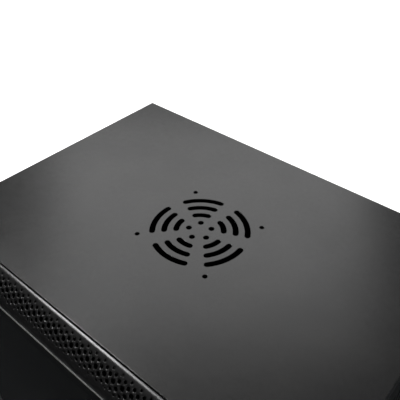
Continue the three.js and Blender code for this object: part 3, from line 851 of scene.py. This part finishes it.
def cam_lock(name, housing_body, plug_body, barrel, proud, outward):
    """The turned bezel and plug of a cam lock; its panel's face is at height 0 of its own frame."""
    low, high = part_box(f"{name}_housing")
    axis = Vector(outward)
    place = centre_of(f"{name}_housing")
    if axis.x:
        place.x = axis.x * (max(abs(low[0]), abs(high[0])) - BEZEL_HEIGHT)
    else:
        place.y = low[1] + BEZEL_HEIGHT
    up = Vector((0, 0, 1))
    turn = Matrix((up.cross(axis), up, axis)).transposed().to_4x4()
    where = Matrix.Translation(place) @ turn
    tail = -barrel / MM
    bezel = (  # radius and height in millimetres, and the material's number
        (6.3, 1.9, 0), (6.6, 2.2, 0), (7.2, 2.3, 0), (7.6, 2.55, 0), (8.4, BEZEL_HEIGHT / MM, 0),
        (9.8, 2.3, 0), (10.7, 1.6, 0), (11.0, 0.9, 0), (11.0, 0.35, 0),
        (8.0, 0.35, 1), (8.0, tail, 1), (6.3, tail, 1), (6.3, 1.9, 1),
    )
    profile = [(r * MM, h * MM, m) for r, h, m in bezel]
    housing_piece = lathe(f"{name}_bezel", profile, [CHROME, ZINC], where)
    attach(housing_piece, housing_body)
    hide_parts(f"{name}_housing")
    plug_piece = lock_plug(f"{name}_core", barrel, proud, where)
    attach(plug_piece, plug_body)
    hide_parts(f"{name}_plug")


def lock_plug(name, barrel, proud, where):
    """A lock's plug with its keyway cut in as a stepped slot."""
    sheet = Sheet()
    sides = 40
    rim = PLUG_RADIUS - 0.4 * MM
    shoulder = proud - 0.4 * MM

    def ring(r, h):
        return [(x, y, h) for x, y in circle(0, 0, r, sides)]

    keyway = [(x * MM, y * MM) for x, y in (
        (1.0, -3.6), (1.0, -1.2), (0.5, -0.6), (0.5, 0.8), (1.0, 1.4), (1.0, 3.6),
        (-0.4, 3.6), (-0.4, 1.4), (-1.0, 0.9), (-1.0, -0.9), (-0.4, -1.4), (-0.4, -3.6),
    )]
    sheet.fill(circle(0, 0, rim, sides), [keyway], lambda x, y: (x, y, proud), material=1)
    sheet.band(ring(rim, proud), ring(PLUG_RADIUS, shoulder))
    sheet.band(ring(PLUG_RADIUS, shoulder), ring(PLUG_RADIUS, -barrel))
    # the keyway's walls and floor take the dark inner powder coat as painted shade in the recess, in place
    # of the plug's own metal
    floor = proud - 4.5 * MM
    sheet.band([(x, y, proud) for x, y in keyway], [(x, y, floor) for x, y in keyway], material=2)
    sheet.fill(keyway, [], lambda x, y: (x, y, floor), material=2)
    sheet.fill(circle(0, 0, PLUG_RADIUS, sides), [], lambda x, y: (x, y, -barrel))
    obj = sheet.make(name, [CHROME, PLUG_FACE, INNER_PAINT_AND_KEYWAY_SHADE], (0, 0, 1), thickness=None)
    obj.matrix_world = where
    return obj


# --- CAD nodes that stay ------------------------------------------------------------------------------


def finish_nodes():
    """Gives the nodes that stay their materials, by the start of their names."""
    finishes = {
        "back_panel": PAINT,
        "front_frame": PAINT,
        "side_brace": INNER_PAINT_AND_KEYWAY_SHADE,
        "rack_rail": INNER_PAINT_AND_KEYWAY_SHADE,
        "cable_cover": INNER_PAINT_AND_KEYWAY_SHADE,
        "cover_guide": INNER_PAINT_AND_KEYWAY_SHADE,
        "rail_bolt": ZINC,
        "earth": ZINC,
        "hinge_block": ZINC,
        "hinge_pin": ZINC,
        "door_lock_cam": ZINC,
        "side_lock": ZINC,
        "door_bumper": BUMPER,
        "glass_tape": TAPE,
    }
    for name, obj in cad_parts.items():
        for prefix, material in finishes.items():
            if name.startswith(prefix):
                obj.data.materials.clear()
                obj.data.materials.append(material)


# --- studio -------------------------------------------------------------------------------------------


def area_light(name, place, target, size, power, glossy=True, diffuse=True):
    light = bpy.data.lights.new(name, "AREA")
    light.shape = "RECTANGLE"
    light.size, light.size_y = size
    light.energy = power
    obj = bpy.data.objects.new(name, light)
    obj.location = place
    obj.rotation_euler = (Vector(target) - Vector(place)).to_track_quat("-Z", "Y").to_euler()
    obj.visible_glossy = glossy
    obj.visible_diffuse = diffuse
    obj.visible_camera = False
    bpy.context.collection.objects.link(obj)


def studio():
    bm = bmesh.new()
    bmesh.ops.create_grid(bm, x_segments=8, y_segments=8, size=6)
    floor = object_from(bm, "studio_floor", [FLOOR])
    floor.location = (0, 0, -0.001)
    floor.visible_glossy = False

    world = bpy.data.worlds.new("studio")
    world.use_nodes = True
    world.node_tree.nodes["Background"].inputs["Color"].default_value = (0.9, 0.95, 1.0, 1)
    world.node_tree.nodes["Background"].inputs["Strength"].default_value = 0.022
    bpy.context.scene.world = world

    top = (0, 0, 0.5)
    area_light("overhead", (-0.7, 0.8, 3.4), top, (5.0, 5.0), 420, glossy=False)
    area_light("backdrop", (-1.207, 1.469, 2.17), top, (1.9, 1.3), 17.8, diffuse=False)
    area_light("edge_light", (-1.33, -0.25, 2.6), top, (0.8, 0.5), 48, diffuse=False)
    area_light("front_fill", (1.6, -2.4, 1.6), top, (1.6, 1.2), 10, diffuse=False)

    # low lights that give the sides and the back their sheen in the other views
    middle = (0, 0, 0.3)
    area_light("left_light", (-2.6, 0.5, 0.6), middle, (2.2, 1.1), 16, diffuse=False)
    area_light("right_light", (2.6, 0.5, 0.6), middle, (2.2, 1.1), 16, diffuse=False)
    area_light("back_light", (0.3, 3.0, 0.6), middle, (2.4, 1.1), 17, diffuse=False)


def camera():
    lens = bpy.data.cameras.new("camera")
    lens.lens = CAMERA_LENS
    lens.sensor_width = 36
    obj = bpy.data.objects.new("camera", lens)
    obj.location = CAMERA_PLACE
    turn = Euler((math.radians(90 - CAMERA_DOWN), 0, math.radians(CAMERA_YAW))).to_matrix()
    roll = Euler((0, 0, math.radians(CAMERA_ROLL))).to_matrix()
    obj.rotation_euler = (turn @ roll).to_euler()
    bpy.context.collection.objects.link(obj)
    bpy.context.scene.camera = obj


camera()
studio()
top_panel()
bottom_panel()
side_panel("left", -1)
side_panel("right", 1)
edge_trim()
back_screws()
door_skin()
glass()
cam_lock("door_lock", "door", "door_lock", 27.2 * MM, 4.0 * MM, (0, -1, 0))
cam_lock("side_lock_left", "side_left", "side_lock_left", 4 * MM, 3.0 * MM, (-1, 0, 0))
cam_lock("side_lock_right", "side_right", "side_lock_right", 4 * MM, 3.0 * MM, (1, 0, 0))
finish_nodes()
bpy.context.scene.view_settings.view_transform = "Standard"
